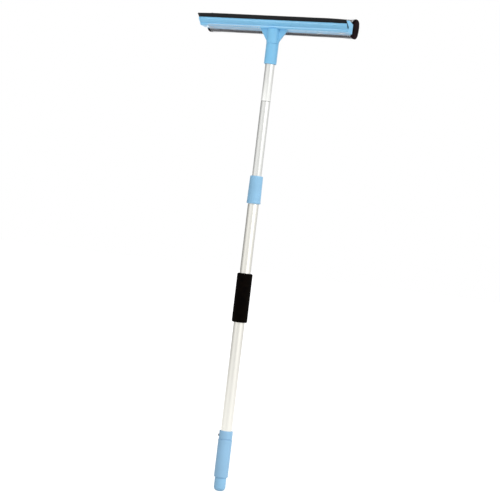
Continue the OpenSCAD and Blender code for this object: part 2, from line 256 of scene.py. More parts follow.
class Surface:
    """A small helper that builds one node-based material."""

    def __init__(self, name, **values):
        self.material = bpy.data.materials.new(name)
        self.material.use_nodes = True
        self.tree = self.material.node_tree
        self.shader = self.tree.nodes["Principled BSDF"]
        for socket, value in values.items():
            self.shader.inputs[socket.replace("_", " ")].default_value = value
        self.bumps = None
        self.coords = self.add("ShaderNodeTexCoord").outputs["Object"]

    def add(self, kind, **settings):
        made = self.tree.nodes.new(kind)
        for key, value in settings.items():
            setattr(made, key, value)
        return made

    def link(self, output, socket):
        self.tree.links.new(output, socket)

    def mapped(self, scale):
        """Object coordinates scaled per axis, per metre."""
        mapping = self.add("ShaderNodeMapping")
        mapping.inputs["Scale"].default_value = scale
        self.link(self.coords, mapping.inputs["Vector"])
        return mapping.outputs["Vector"]

    def noise(self, scale, detail=3.0, roughness=0.55, stretch=None, distortion=0.0):
        """A noise pattern; scale is per metre, and stretch scales the axes first."""
        made = self.add("ShaderNodeTexNoise")
        made.inputs["Scale"].default_value = scale
        made.inputs["Detail"].default_value = detail
        made.inputs["Roughness"].default_value = roughness
        made.inputs["Distortion"].default_value = distortion
        self.link(self.mapped(stretch) if stretch else self.coords, made.inputs["Vector"])
        return made.outputs["Fac"]

    def cells(self, scale):
        """Distance to the middle of the nearest of many scattered cells; scale is per metre."""
        made = self.add("ShaderNodeTexVoronoi")
        made.inputs["Scale"].default_value = scale
        self.link(self.coords, made.inputs["Vector"])
        return made.outputs["Distance"]

    def remap(self, value, low, high, to_low, to_high):
        made = self.add("ShaderNodeMapRange")
        for socket, number in zip(("From Min", "From Max", "To Min", "To Max"), (low, high, to_low, to_high)):
            made.inputs[socket].default_value = number
        self.link(value, made.inputs["Value"])
        return made.outputs["Result"]

    def mix(self, factor, first, second):
        """A colour between two, each a colour or an output."""
        made = self.add("ShaderNodeMix", data_type="RGBA")
        self.link(factor, made.inputs["Factor"])
        for socket, value in (("A", first), ("B", second)):
            target = [s for s in made.inputs if s.name == socket and s.type == "RGBA"][0]
            if isinstance(value, bpy.types.NodeSocket):
                self.link(value, target)
            else:
                target.default_value = (*value, 1)
        return [s for s in made.outputs if s.type == "RGBA"][0]

    def colour(self, output):
        self.link(output, self.shader.inputs["Base Color"])

    def roughness(self, output):
        self.link(output, self.shader.inputs["Roughness"])

    def bump(self, height, distance, strength=1.0):
        """Adds one layer of relief; distance is in metres."""
        made = self.add("ShaderNodeBump")
        made.inputs["Distance"].default_value = distance
        made.inputs["Strength"].default_value = strength
        self.link(height, made.inputs["Height"])
        if self.bumps:
            self.link(self.bumps, made.inputs["Normal"])
        self.bumps = made.outputs["Normal"]
        self.link(self.bumps, self.shader.inputs["Normal"])


def moulded_plastic(name, colour, roughness, tint=0.035, grain=0.00002):
    """Moulded plastic with a faint flow pattern in its colour and an uneven, finely grained gloss."""
    s = Surface(name, IOR=1.49)
    light = tuple(min(1, c * (1 + tint)) for c in colour)
    dark = tuple(c * (1 - tint) for c in colour)
    flow = s.noise(28, 4, 0.5, stretch=(0.5, 1, 1), distortion=0.6)
    s.colour(s.mix(s.remap(flow, 0.3, 0.7, 0, 1), dark, light))
    s.roughness(s.remap(s.noise(160, 5, 0.6), 0.3, 0.7, roughness - 0.06, roughness + 0.08))
    s.bump(s.noise(2600, 2, 0.5), grain)
    s.bump(s.noise(45, 2, 0.5), 0.00025, 0.35)
    return s.material


def drawn_aluminium(name, colour, roughness):
    """Satin aluminium tube with the fine lengthwise lines that drawing leaves."""
    s = Surface(name, Metallic=1.0)
    lines = s.noise(1, 5, 0.65, stretch=(1500, 1500, 9))
    broad = s.noise(1, 3, 0.5, stretch=(240, 240, 5))
    fine = s.mix(s.remap(lines, 0.3, 0.7, 0, 1), tuple(c * 0.93 for c in colour), colour)
    s.colour(s.mix(s.remap(broad, 0.35, 0.65, 0, 0.5), fine, tuple(c * 0.96 for c in colour)))
    s.roughness(s.remap(lines, 0.3, 0.7, roughness - 0.05, roughness + 0.07))
    s.bump(lines, 0.000012)
    return s.material


def plain_steel(name, colour, roughness):
    s = Surface(name, Metallic=1.0)
    wear = s.noise(900, 4, 0.6)
    s.colour(s.mix(s.remap(wear, 0.3, 0.7, 0, 1), tuple(c * 0.85 for c in colour), colour))
    s.roughness(s.remap(wear, 0.3, 0.7, roughness - 0.06, roughness + 0.08))
    s.bump(s.noise(3000, 2, 0.5), 0.00001)
    return s.material


def black_rubber(name):
    """Extruded rubber: nearly black, with faint lengthwise lines and a dusty, uneven sheen."""
    s = Surface(name, IOR=1.52, Specular_IOR_Level=0.12)
    lines = s.noise(1, 4, 0.6, stretch=(6, 900, 900))
    dust = s.noise(70, 5, 0.65)
    s.colour(s.mix(s.remap(dust, 0.4, 0.75, 0, 1), (0.004, 0.004, 0.005), (0.010, 0.010, 0.012)))
    s.roughness(s.remap(lines, 0.3, 0.7, 0.42, 0.56))
    s.bump(lines, 0.00002)
    return s.material


def closed_cell_foam(name):
    """Soft black foam with a fine closed-cell skin."""
    s = Surface(name, IOR=1.45, Specular_IOR_Level=0.035)
    cells = s.cells(900)
    mottle = s.noise(120, 4, 0.6)
    s.colour(s.mix(s.remap(mottle, 0.35, 0.7, 0, 1), (0.0008, 0.0005, 0.0004), (0.0035, 0.002, 0.001)))
    s.roughness(s.remap(cells, 0.0, 0.6, 0.62, 0.8))
    s.bump(cells, 0.00018, 0.6)
    s.bump(s.noise(300, 3, 0.6), 0.0002, 0.4)
    return s.material


def open_cell_sponge(name):
    """Dark maroon open-cell sponge: round pores of several sizes, with painted shade darkening the inside of
    the larger pores.
    """
    s = Surface(name, IOR=1.4, Specular_IOR_Level=0.1)
    large, small = s.cells(520), s.cells(1300)
    blotches = s.remap(s.noise(60, 4, 0.6), 0.35, 0.65, 0, 1)
    tone = s.mix(blotches, (0.006, 0.0025, 0.003), (0.022, 0.010, 0.013))
    # painted shade: the middle of each large pore is darkened to stand in for the shade inside the holes
    s.colour(s.mix(s.remap(large, 0.05, 0.38, 1, 0), tone, (0.004, 0.002, 0.003)))
    s.roughness(s.remap(small, 0, 0.6, 0.75, 0.95))
    s.bump(large, 0.0007, 0.8)
    s.bump(small, 0.0003, 0.6)
    return s.material


def nylon_net(name):
    """White twisted nylon thread."""
    s = Surface(name, IOR=1.52, Sheen_Weight=0.1, Sheen_Roughness=0.4)
    twist = s.noise(2400, 3, 0.6)
    s.colour(s.mix(s.remap(twist, 0.3, 0.7, 0, 1), (0.74, 0.76, 0.78), (0.92, 0.93, 0.94)))
    s.roughness(s.remap(twist, 0.3, 0.7, 0.35, 0.55))
    s.bump(twist, 0.0001, 0.6)
    return s.material


def plain_plastic(name, colour, roughness):
    """Dense moulded plastic for the pieces inside."""
    s = Surface(name, IOR=1.5)
    cloud = s.noise(220, 4, 0.6)
    s.colour(s.mix(s.remap(cloud, 0.3, 0.7, 0, 1), tuple(c * 0.9 for c in colour), colour))
    s.roughness(s.remap(cloud, 0.3, 0.7, roughness - 0.05, roughness + 0.08))
    s.bump(s.noise(2600, 2, 0.5), 0.00002)
    return s.material


MATERIALS = {
    "blue_plastic": moulded_plastic("blue_plastic", (0.285, 0.555, 0.800), 0.36),
    "grip_plastic": moulded_plastic("grip_plastic", (0.300, 0.545, 0.780), 0.46, grain=0.00004),
    "head_plastic": moulded_plastic("head_plastic", (0.215, 0.55, 0.830), 0.30),
    "lower_tube_metal": drawn_aluminium("lower_tube_metal", (0.88, 0.865, 0.805), 0.33),
    "upper_tube_metal": drawn_aluminium("upper_tube_metal", (0.84, 0.845, 0.82), 0.33),
    "dark_steel": plain_steel("dark_steel", (0.22, 0.22, 0.23), 0.38),
    "bright_steel": plain_steel("bright_steel", (0.80, 0.80, 0.81), 0.22),
    "black_foam": closed_cell_foam("black_foam"),
    "nylon": plain_plastic("nylon", (0.85, 0.84, 0.78), 0.42),
    "black_plastic": plain_plastic("black_plastic", (0.035, 0.035, 0.037), 0.42),
    "black_rubber": black_rubber("black_rubber"),
    "dark_sponge": open_cell_sponge("dark_sponge"),
    "white_net": nylon_net("white_net"),
}


# ---------- lower pole ----------

def ring_piece(node, outline, body, slot, segments=96, shape=None):
    piece = lathe("pole_" + node, outline, segments, shape=shape)
    return finish_piece(piece, body, slot, node)


def end_cap():
    """Rounded plastic cap with a spigot inside the tube."""
    _, spigot_top, r = round_size("end_cap")
    seam, _, _ = round_size("hand_grip")
    shoulder, spigot_r, wall, floor_t = seam - SEAM_GAP, TUBE_R - TUBE_WALL, 2.2, 6
    outside = ([(0, 0)] + fillet((0, 0), (r, 0), (r, seam), 8, 16)
               + fillet((r, 0), (r, shoulder), (0, shoulder), 0.5, 4))
    spigot = [(spigot_r, shoulder), (spigot_r, spigot_top), (spigot_r - wall, spigot_top),
              (spigot_r - wall, floor_t), (0, floor_t)]
    ring_piece("end_cap", outside + spigot, "lower_pole", "blue_plastic")


def hand_grip():
    bottom, top, r = round_size("hand_grip")
    outline = rounded([(TUBE_R, bottom, 0), (r, bottom, 1.2), (r, top, 0.8), (TUBE_R, top, 0)])
    ring_piece("hand_grip", outline, "lower_pole", "grip_plastic")


def grip_ring():
    """Ring above the hand grip, with a small chamfer at the seam and a hole for its screw."""
    bottom, top, r = round_size("grip_ring")
    outline = rounded([(TUBE_R, bottom, 0), (r - 0.5, bottom, 0.3), (r, bottom + 2, 1), (r, top, 0.9),
                       (TUBE_R, top, 0.2)])
    ring = lathe("pole_grip_ring", outline, 144)
    low, high = box_mm("grip_screw")
    centre = (low + high) / 2
    out = Vector((centre.x, centre.y, 0)).normalized()
    middle = out * (TUBE_R + 3.5) + Vector((0, 0, centre.z))
    bpy.ops.mesh.primitive_cylinder_add(vertices=48, radius=1.6 * MM, depth=8 * MM, location=middle * MM)
    drill = bpy.context.object
    drill.rotation_euler = out.to_track_quat("Z", "Y").to_euler()
    combine(ring, drill, "DIFFERENCE")
    shade(ring)
    finish_piece(ring, "lower_pole", "grip_plastic", "grip_ring")


def outer_tube():
    """Drawn tube; the bead rolled in under the collar, and its top edge turned in a little."""
    bottom, top, r = round_size("outer_tube")
    bore = r - TUBE_WALL
    collar_bottom, _, _ = round_size("lock_collar")
    bead, half, depth = collar_bottom + 5, 1.6, 0.5
    outside = [(r, bottom), (r, bead - half), (r - depth * 0.7, bead - half / 2), (r - depth, bead),
               (r - depth * 0.7, bead + half / 2), (r, bead + half), (r, top - 0.2), (r - 0.2, top)]
    inside = [(bore, top)] + [(x - TUBE_WALL, z) for x, z in reversed(outside[1:-2])] + [(bore, bottom)]
    ring_piece("outer_tube", outside + inside, "lower_pole", "lower_tube_metal", 128)


def foam_grip():
    """Foam sleeve with soft rounded ends and a slightly uneven skin."""
    bottom, top, r = round_size("foam_grip")
    skin, edge = r - 0.1, 2.6
    outline = rounded([(TUBE_R, bottom, 0), (skin, bottom, edge), (skin, top, edge), (TUBE_R, top, 0)], 10)

    def uneven(radius, turn, height):
        if radius < TUBE_R + 1:
            return radius
        at = Vector((math.cos(turn) * 15, math.sin(turn) * 15, height))
        waves = ((0.10, 0.12), (0.09, 0.8), (0.05, 2.1))
        return radius + sum(height_mm * noise.noise(at * scale) for height_mm, scale in waves)

    fine = resampled(outline, 0.9, closed=True)
    ring = ring_piece("foam_grip", fine, "lower_pole", "black_foam", 112, uneven)


def lock_collar():
    """Twist collar: a raised rim at its lower end, a pocket inside for the guide bush."""
    bottom, top, rim = round_size("lock_collar")
    _, tube_top, _ = round_size("outer_tube")
    bush_low, bush_high, bush_r = round_size("guide_bush")
    r, top_r, pocket_r, mouth = rim - 0.4, 12.9, bush_r + 0.08, SLIDE_R + 0.4
    outside = (fillet((TUBE_R, bottom), (rim, bottom), (rim, bottom + 3), 1) + [(rim, bottom + 2.8)]
               + fillet((rim, bottom + 3), (r, bottom + 4.4), (top_r, top), 0.6, 4)
               + fillet((r, bottom + 4.4), (top_r, top), (0, top), 1.8, 12)
               + fillet((top_r, top), (mouth, top), (mouth, bottom), 0.35, 4))
    inside = [(mouth, bush_high + 0.3), (pocket_r, bush_high + 0.3), (pocket_r, bush_low - 0.3),
              (mouth + 0.1, bush_low - 0.3), (mouth + 0.1, tube_top), (TUBE_R, tube_top),
              (TUBE_R, bottom + 6.6), (TUBE_R - 0.45, bottom + 5), (TUBE_R, bottom + 3.4), (TUBE_R, bottom)]
    ring_piece("lock_collar", outside + inside, "lower_pole", "blue_plastic")


# ---------- upper pole ----------

def sliding_tubes():
    """The two lengths of the thinner tube, their edges broken a little where they meet."""
    for node in ("inner_tube", "neck_tube"):
        bottom, top, r = round_size(node)
        bore = r - TUBE_WALL
        outline = rounded([(bore, bottom, 0), (r, bottom, 0.2), (r, top, 0.2), (bore, top, 0)], 3)
        ring_piece(node, outline, "upper_pole", "upper_tube_metal", 128)


def pole_tip():
    """Sleeve on the sliding tube with a threaded stub; the thread is a true helix here."""
    bottom, top, r = round_size("pole_tip")
    seam, _, _ = round_size("head_body")
    core, depth, pitch, step = 8.0, 1.0, 3.5, 0.35
    shoulder, tube_top = seam - SEAM_GAP, round_size("neck_tube")[1]
    sleeve = (fillet((SLIDE_R, bottom), (r, bottom), (r, seam), 1.2, 8)
              + fillet((r, bottom), (r, shoulder), (core, shoulder), 0.8, 5))
    stub = [(core, shoulder + step * i) for i in range(int((top - seam - 1) / step) + 1)]

    def thread(radius, turn, height):
        if abs(radius - core) > 0.01 or height < seam:
            return radius
        up = height - seam
        phase = (up / pitch - turn / (2 * math.pi)) % 1
        crest = max(0, min(1, (0.34 - abs(phase - 0.5)) / 0.2))
        fade = max(0, min(1, (up - 1.2) / 1.5)) * max(0, min(1, (top - seam - 2 - up) / 1.5))
        return radius + depth * crest * fade

    end = [(core, top - 1), (core - 1, top), (0, top), (0, tube_top), (SLIDE_R, tube_top)]
    ring_piece("pole_tip", sleeve + stub + end, "upper_pole", "head_plastic", 120, thread)


# ---------- head ----------

LEAN = math.radians(41.7)
UP_BLADE = np.array((-math.sin(LEAN), math.cos(LEAN)))
OFF_BLADE = np.array((-math.cos(LEAN), -math.sin(LEAN)))
BLADE_ROOT = np.array((-9.2, 938.3))
BLADE_T, BLADE_TAPER, BLADE_H = 2.4, 0.2, 20.7
BEAD_W, BEAD_H, SLOT_GAP = 4.0, 2.6, 0.05
END_DROOP = np.array((-1.0, -1.2))
LIP_UP, LIP_T, SHOULDER_UP = 12.1, 1.9, 10.6
LIP_CHAMFER, LIP_CROWN, BAND_CROWN, GROOVE_DEPTH = 0.9, 1.1, 0.4, 0.5
CREASE, BAND_BOTTOM, UNDERSIDE_SLOPE = np.array((-10.7, 935.9)), np.array((-8, 931.2)), 0.085
UNDERSIDE_Z = float(BAND_BOTTOM[1])
BACK_Y, BACK_TOP, RIDGE = 12, np.array((12.5, 949.5)), np.array((-8, 954))
BAND_DOWN = unit(BAND_BOTTOM - CREASE)
BAND_OUT = np.array((BAND_DOWN[1], -BAND_DOWN[0]))


def on_blade(up, off):
    """A point given up the blade and off its middle plane."""
    return BLADE_ROOT + UP_BLADE * up + OFF_BLADE * off


def underside_at(y):
    """Height of the head's underside, which slopes down to the back."""
    return UNDERSIDE_Z - UNDERSIDE_SLOPE * (y - float(BAND_BOTTOM[0]))


def blade_half(up):
    """Half the rubber's thickness at a height above its root."""
    foot = BEAD_H + 0.8
    return BLADE_T / 2 - BLADE_TAPER * max(0, (up - foot) / (BLADE_H - foot))


def head_outline():
    """The body's section: lip, lower band, underside, back and ridge, and the slot for the rubber."""
    lip_half, shoulder_half = blade_half(LIP_UP) + SLOT_GAP, blade_half(SHOULDER_UP) + SLOT_GAP
    neck, foot = BEAD_H + SLOT_GAP, BEAD_W / 2 + SLOT_GAP
    slot = [(SHOULDER_UP, -shoulder_half, 0.5), (neck + 0.8, -blade_half(0) - SLOT_GAP, 0), (neck, -foot, 0),
            (-SLOT_GAP, -foot, 0), (-SLOT_GAP, foot, 0), (neck, foot, 0),
            (neck + 0.8, blade_half(0) + SLOT_GAP, 0), (LIP_UP, lip_half, 0.25),
            (LIP_UP, BLADE_T / 2 + LIP_T - LIP_CHAMFER, 0.6)]
    lip = on_blade(LIP_UP, BLADE_T / 2 + LIP_T)
    down = unit(CREASE - lip)
    crown = [lip + (CREASE - lip) * t + OFF_BLADE * LIP_CROWN * math.sin(math.pi * t)
             for t in (0.22, 0.45, 0.7)]
    groove = [CREASE - down * 0.6, CREASE - OFF_BLADE * GROOVE_DEPTH,
              CREASE + BAND_DOWN * 0.6 + BAND_OUT * 0.1]
    belly = (CREASE + BAND_BOTTOM) / 2 + BAND_OUT * BAND_CROWN
    front = [(*p, 5) for p in crown] + [(*p, 0.15) for p in groove] + [(*belly, 2), (*BAND_BOTTOM, 0.7)]
    behind = [(BACK_Y, underside_at(BACK_Y), 0.8), (*BACK_TOP, 2.5), (*RIDGE, 2.2)]
    return rounded(front + behind + [(*on_blade(up, off), radius) for up, off, radius in slot])


def wing_outline():
    """Gusset from the neck to the plate, seen from the front, on the +X side."""
    low, high, inner = NECK_BOTTOM_Z + 4, UNDERSIDE_Z + 1.2, 4
    foot, shoulder, tip = (NECK_R - 0.2, low), (28.6, UNDERSIDE_Z - 3), (30.6, high)
    return ([(inner, low)] + fillet((NECK_R - 0.5, NECK_BOTTOM_Z), foot, shoulder, 12, 12)
            + fillet(foot, shoulder, tip, 4, 8) + [tip, (inner, high)])


def neck_and_wings():
    """The neck and both gussets, melted together so that they meet in soft fillets."""
    wing_half, wing_y, reach = 2.5, 1.0, 20
    bottom, top = (0, NECK_BOTTOM_Z), (0, NECK_TOP_Z)
    low, high = (NECK_R, NECK_BOTTOM_Z), (NECK_R, NECK_TOP_Z)
    side = fillet(bottom, low, high, 0.9, 5) + fillet(low, high, top, 3, 8)
    neck = lathe("neck", [bottom] + side + [top], 128)
    corners = [(x, y, z) for z in (underside_at(NECK_R), UNDERSIDE_Z + reach)
               for y in (BACK_Y - 0.1, BACK_Y + reach) for x in (-reach, reach)]
    behind = add_mesh("behind", corners, [[0, 1, 3, 2], [4, 6, 7, 5], [0, 4, 5, 1],
                                          [2, 3, 7, 6], [0, 2, 6, 4], [1, 5, 7, 3]])
    combine(neck, behind, "DIFFERENCE")
    for side in (-1, 1):
        outline = [(side * x, z) for x, z in wing_outline()]
        size = len(outline)
        points = [(x, y, z) for y in (wing_y - wing_half, wing_y + wing_half) for x, z in outline]
        faces = [[i, (i + 1) % size, size + (i + 1) % size, size + i] for i in range(size)]
        wing = add_mesh("wing", points, faces + [list(range(size)), list(range(size, 2 * size))])
        combine(neck, wing, "UNION")
    remesh(neck, 0.45, 10)
    return neck


def head_body():
    """Body of the head: the bar that holds the rubber, with the neck below it."""
    body = prism("head_body_shell", head_outline(), HEAD_HALF, 0.6)
    combine(body, neck_and_wings(), "UNION")
    bore_r, bore_top, below = 9.35, NECK_BOTTOM_Z + 27.5, NECK_BOTTOM_Z - 2
    bore = lathe("bore", [(0, below), (bore_r + 2.6, below), (bore_r, NECK_BOTTOM_Z + 0.6),
                          (bore_r, bore_top), (0, bore_top)])
    combine(body, bore, "DIFFERENCE")
    shade(body, 32)
    finish_piece(body, "head", "head_plastic", "head_body")


def rubber_blade():
    """Rubber strip, its bead in the slot and its free edge a little wavy."""
    foot = BEAD_W / 2
    corners = [(0, foot, 0.2), (0, -foot, 0.2), (BEAD_H, -foot, 0.2), (BEAD_H + 0.8, -blade_half(0), 0),
               (BLADE_H, -blade_half(BLADE_H), 0.12), (BLADE_H, blade_half(BLADE_H), 0.12),
               (BEAD_H + 0.8, blade_half(0), 0), (BEAD_H, foot, 0.2)]
    outline = rounded([(*on_blade(up, off), radius) for up, off, radius in corners], 3)

    def wavy(x, y, z):
        up = float((np.array((y, z)) - BLADE_ROOT) @ UP_BLADE)
        free = max(0, (up - LIP_UP) / (BLADE_H - LIP_UP))
        end = max(0, min(1, (abs(x) - 120) / 45)) ** 1.5
        wave = 0.35 * noise.noise(Vector((x * 0.018, 3.7, SEED)))
        shift = OFF_BLADE * free * wave + END_DROOP * free * end
        return (x, y + shift[0], z + shift[1])

    strip = prism("rubber_strip", resampled(outline, 2.5, closed=True), HEAD_HALF, 0.12, 4, wavy)
    finish_piece(strip, "head", "black_rubber", "rubber_blade")


# ---------- sponge and net ----------

SPONGE_CENTRE = np.array((32.4, 943.4))
SPONGE_T, SPONGE_H = 24.2, 37.0
SPONGE_LEAN = math.radians(8)
OVAL_POWER = 2.7
CARRIER_BACK_Y = 20.3
NET_HALF, NECK_SIDE = 160.0, 31
NET_PITCH, NET_ROW, NET_PHASE = 4.75, 16.0, 1.5
STRAND_R, HEM_STEP, HEM_LIFT = 0.24, 1.5, 0.1


def oval(angle, grow):
    """A point on the sponge's oval section, grown by a margin; the angle is in degrees."""
    c, s = math.cos(math.radians(angle)), math.sin(math.radians(angle))
    across = (SPONGE_T / 2 + grow) * math.copysign(abs(c) ** (2 / OVAL_POWER), c)
    along = (SPONGE_H / 2 + grow) * math.copysign(abs(s) ** (2 / OVAL_POWER), s)
    lean_c, lean_s = math.cos(SPONGE_LEAN), math.sin(SPONGE_LEAN)
    return SPONGE_CENTRE + np.array((across * lean_c + along * lean_s, along * lean_c - across * lean_s))


def distances(route):
    """How far along a route each of its points lies."""
    return np.concatenate([[0], np.cumsum(np.linalg.norm(np.diff(np.array(route), axis=0), axis=1))])


def swell(x):
    """How far the sponge stands out at a place along the head: pulled in by the net, free beyond it."""
    free = max(0, min(1, (abs(x) - NET_HALF + 4) / 5.5))
    return -0.5 + 1.6 * free * free * (3 - 2 * free)


def quilting(x, along):
    """1 in the middle of each net mesh and -1 under a knot."""
    return math.cos(2 * math.pi * x / NET_PITCH) * math.cos(2 * math.pi * along / NET_ROW)


def sponge():
    """Dark sponge, quilted by the net's threads, with bulging open-cell ends."""
    end, bevel_r = box_mm("sponge")[1].x - 0.3, 2.6
    xs = list(np.arange(-154, 154.01, 0.74)) + list(np.arange(154.5, end - 2.4, 0.5))
    xs = [-x for x in reversed(xs) if x > 154.1] + xs
    bevel = [(end - bevel_r * (1 - math.sin(t)), bevel_r * (1 - math.cos(t)))
             for t in np.linspace(0.15, math.pi / 2, 7)]
    stations = [(-x, inset) for x, inset in reversed(bevel)] + [(x, 0) for x in xs] + bevel
    points, size = [], 144
    length = distances([oval(a, 0) for a in np.linspace(-180, 179.5, 720)])
    along = np.linspace(0, length[-1], size, endpoint=False)
    angles = np.interp(along, length, np.linspace(-180, 179.5, 720))
    flat_y = CARRIER_BACK_Y + 0.05

    def skin(x, inset, k):
        covered = 1 if abs(x) < NET_HALF - 3 else 0
        grow = swell(x) - inset + covered * 0.38 * quilting(x, along[k])
        y, z = oval(angles[k], grow)
        at = Vector((x, y, z))
        rough = 0.12 * noise.noise(at * 0.9) + 0.10 * noise.noise(at * 2.3)
        rough += (1 - covered) * (0.5 * noise.noise(at * 0.16) + 0.28 * noise.noise(at * 1.3))
        out = np.array((y, z)) - SPONGE_CENTRE
        y, z = np.array((y, z)) + out / np.linalg.norm(out) * rough
        return (x, max(y, flat_y), z)

    for x, inset in stations:
        points += [skin(x, inset, k) for k in range(size)]
    faces = [[s * size + i, s * size + (i + 1) % size, (s + 1) * size + (i + 1) % size, (s + 1) * size + i]
             for s in range(len(stations) - 1) for i in range(size)]
    for side, first in ((-1, 0), (1, (len(stations) - 1) * size)):
        rows = [list(range(first, first + size))]
        for shrink in np.linspace(0.9, 0.1, 14):
            row = []
            for k in range(size):
                x, y, z = points[first + k]
                y, z = SPONGE_CENTRE + (np.array((y, z)) - SPONGE_CENTRE) * shrink
                bulge = 0.25 * noise.noise(Vector((side * 40, y * 0.3, z * 0.3)))
                bulge += 0.3 * noise.noise(Vector((x, y, z)) * 1.1)
                row.append(len(points))
                points.append((x + side * bulge * 0.8, max(y, flat_y), z))
            rows.append(row)
        for here, there in zip(rows, rows[1:]):
            faces += [[here[i], here[(i + 1) % size], there[(i + 1) % size], there[i]] for i in range(size)]
        faces.append(rows[-1])
    block = add_mesh("sponge_block", points, faces, 80)
    finish_piece(block, "head", "dark_sponge", "sponge")


def front_edge(x):
    """How far back along the underside the net's front edge lies, as its distance from the crease."""
    wave = 0.8 * noise.noise(Vector((x * 0.05, 1.3, SEED)))
    if abs(x) < NECK_SIDE:
        return 30.5
    if x < 0:
        return 1.6 + 0.5 * wave + max(0, -146 - x) * 3.2
    if x < 104:
        return 30.5 - 2.5 * (x - NECK_SIDE) / 73 + 0.5 * wave
    return 28 - 15 * min(1, (x - 104) / 44) + max(0, x - 150) * 1.6 + 0.5 * wave


def corner_pull(x, s):
    """How far the net's front corner is stretched towards the neck, on the left side."""
    return 6 * max(0, 1 - (-NECK_SIDE - x) / 25) * max(0, 1 - s / 11) if x < -NECK_SIDE else 0


def net_route(x, lift):
    """The net's way round the head at a place along it, from the crease under the body to its top edge."""
    off = STRAND_R + 0.12 + lift
    up_slope = unit(RIDGE - BACK_TOP)
    belly = (CREASE + BAND_BOTTOM) / 2 + BAND_OUT * (BAND_CROWN + off)
    corner = BAND_BOTTOM + BAND_OUT * off - (0, off)
    behind = (CARRIER_BACK_Y, underside_at(CARRIER_BACK_Y) - off)
    route = [tuple(CREASE + BAND_DOWN * 0.6 + BAND_OUT * (off + 0.1)), tuple(belly)]
    route += fillet(tuple(belly), tuple(corner), behind, 1.2, 6)
    route += [(CARRIER_BACK_Y - 1.5, underside_at(CARRIER_BACK_Y - 1.5) - off)]
    route += [tuple(oval(a, off + swell(x))) for a in range(-106, 135, 4)]
    route += [tuple(BACK_TOP + (1.2, off + 0.6)), tuple(BACK_TOP + (-0.5, off + 0.35)),
              tuple(BACK_TOP + 7 * up_slope + (0, off + 0.1))]
    return np.array(route)


def strand(x0, sign, lift, phase):
    """One zigzag thread of the net, from its front edge to its top edge."""
    route = net_route(x0, lift)
    length, start = distances(route), front_edge(x0)
    count = max(8, round((length[-1] - start) / 0.75))
    path = []
    for s in np.linspace(start, length[-1], count):
        swing = math.cos(2 * math.pi * (s + NET_PHASE + phase) / NET_ROW)
        swing = math.copysign(min(1, abs(swing) * 2.4), swing)
        x = x0 + sign * (NET_PITCH / 4) * swing * 0.96 + corner_pull(x0, s)
        y, z = (np.interp(s, length, route[:, i]) for i in (0, 1))
        path.append((x, y, z))
    return path


def edge_thread(first, last, at_start):
    """A thread along the net's front or top edge."""
    path = []
    for x in np.arange(first, last + 0.1, HEM_STEP):
        route = net_route(x, HEM_LIFT)
        length = distances(route)
        s = front_edge(x) + 0.2 if at_start else length[-1] - 0.3
        path.append((x + corner_pull(x, s), *(np.interp(s, length, route[:, i]) for i in (0, 1))))
    return path


def net_cover():
    """White mesh stretched over the sponge and the body's underside, doubled at its ends."""
    count = int(2 * NET_HALF / (NET_PITCH / 2))
    paths = []
    for i in range(count):
        x0 = -NET_HALF + NET_PITCH / 4 + (i + 0.1) * NET_PITCH / 2
        sign = 1 if i % 2 else -1
        paths.append(strand(x0, sign, 0, 0))
        if abs(x0) > NET_HALF - 19:
            paths.append(strand(x0 + 0.6, sign, 0.6, 0.8))
    side, middle = NECK_SIDE + 1, NECK_SIDE - 1
    for first, last in ((-NET_HALF, -side), (side, NET_HALF), (-middle, middle)):
        paths.append(edge_thread(first, last, True))
    paths.append(edge_thread(-NET_HALF, NET_HALF, False))
    net = tubes("net_mesh", paths, STRAND_R)
    finish_piece(net, "head", "white_net", "net_cover")
    around = float(distances(net_route(0, 0))[-1])
    cut = sum(around - front_edge(x) for x in np.arange(-NET_HALF, NET_HALF))


def net_staples():
    """Wire staples with bent corners."""
    source = NODES["net_staples"].data
    made = bmesh.new()
    made.from_mesh(source)
    bmesh.ops.remove_doubles(made, verts=made.verts, dist=1e-6)
    islands, left = [], set(made.verts)
    while left:
        queue, island = [left.pop()], []
        while queue:
            v = queue.pop()
            island.append(v.co.copy() / MM)
            for e in v.link_edges:
                o = e.other_vert(v)
                if o in left:
                    left.remove(o)
                    queue.append(o)
        islands.append(island)
    made.free()
    paths = []
    r, bend = 0.45, 1.0
    for island in islands:
        low = Vector([min(p[i] for p in island) for i in range(3)])
        high = Vector([max(p[i] for p in island) for i in range(3)])
        below = (low.z + high.z) / 2 < UNDERSIDE_Z + 3
        if below:
            into, crown = Vector((0, 0, 1)), Vector(((low.x + high.x) / 2, (low.y + high.y) / 2, low.z + r))
        else:
            slope = Vector((0, *(RIDGE - BACK_TOP))).normalized()
            into = Vector((1, 0, 0)).cross(slope)
            into = -into if into.z > 0 else into
            outermost = min(p.dot(into) for p in island)
            outer = [p for p in island if p.dot(into) < outermost + r]
            crown = Vector(((low.x + high.x) / 2, *(sum(p[i] for p in outer) / len(outer) for i in (1, 2))))
        half = (high.x - low.x) / 2 - r
        path = []
        for side in (-1, 1):
            corner = crown + Vector((side * half, 0, 0))
            leg = [corner + into * d for d in (3.6, 2.4, bend)]
            arc = []
            for i in range(1, 6):
                t = math.pi / 2 * i / 6
                inwards = Vector((side * bend * (1 - math.cos(t)), 0, 0))
                arc.append(corner + into * bend * (1 - math.sin(t)) - inwards)
            path += leg + arc if side < 0 else list(reversed(leg + arc))
        paths.append([tuple(p) for p in path])
    wires = tubes("staple_wires", paths, r, 10)
    finish_piece(wires, "head", "bright_steel", "net_staples")


# ---------- pieces that keep their CAD shape ----------

def keep_cad(node, slot):
    obj = NODES[node]
    obj.data.materials.clear()
    obj.data.materials.append(MATERIALS[slot])


# ---------- studio ----------

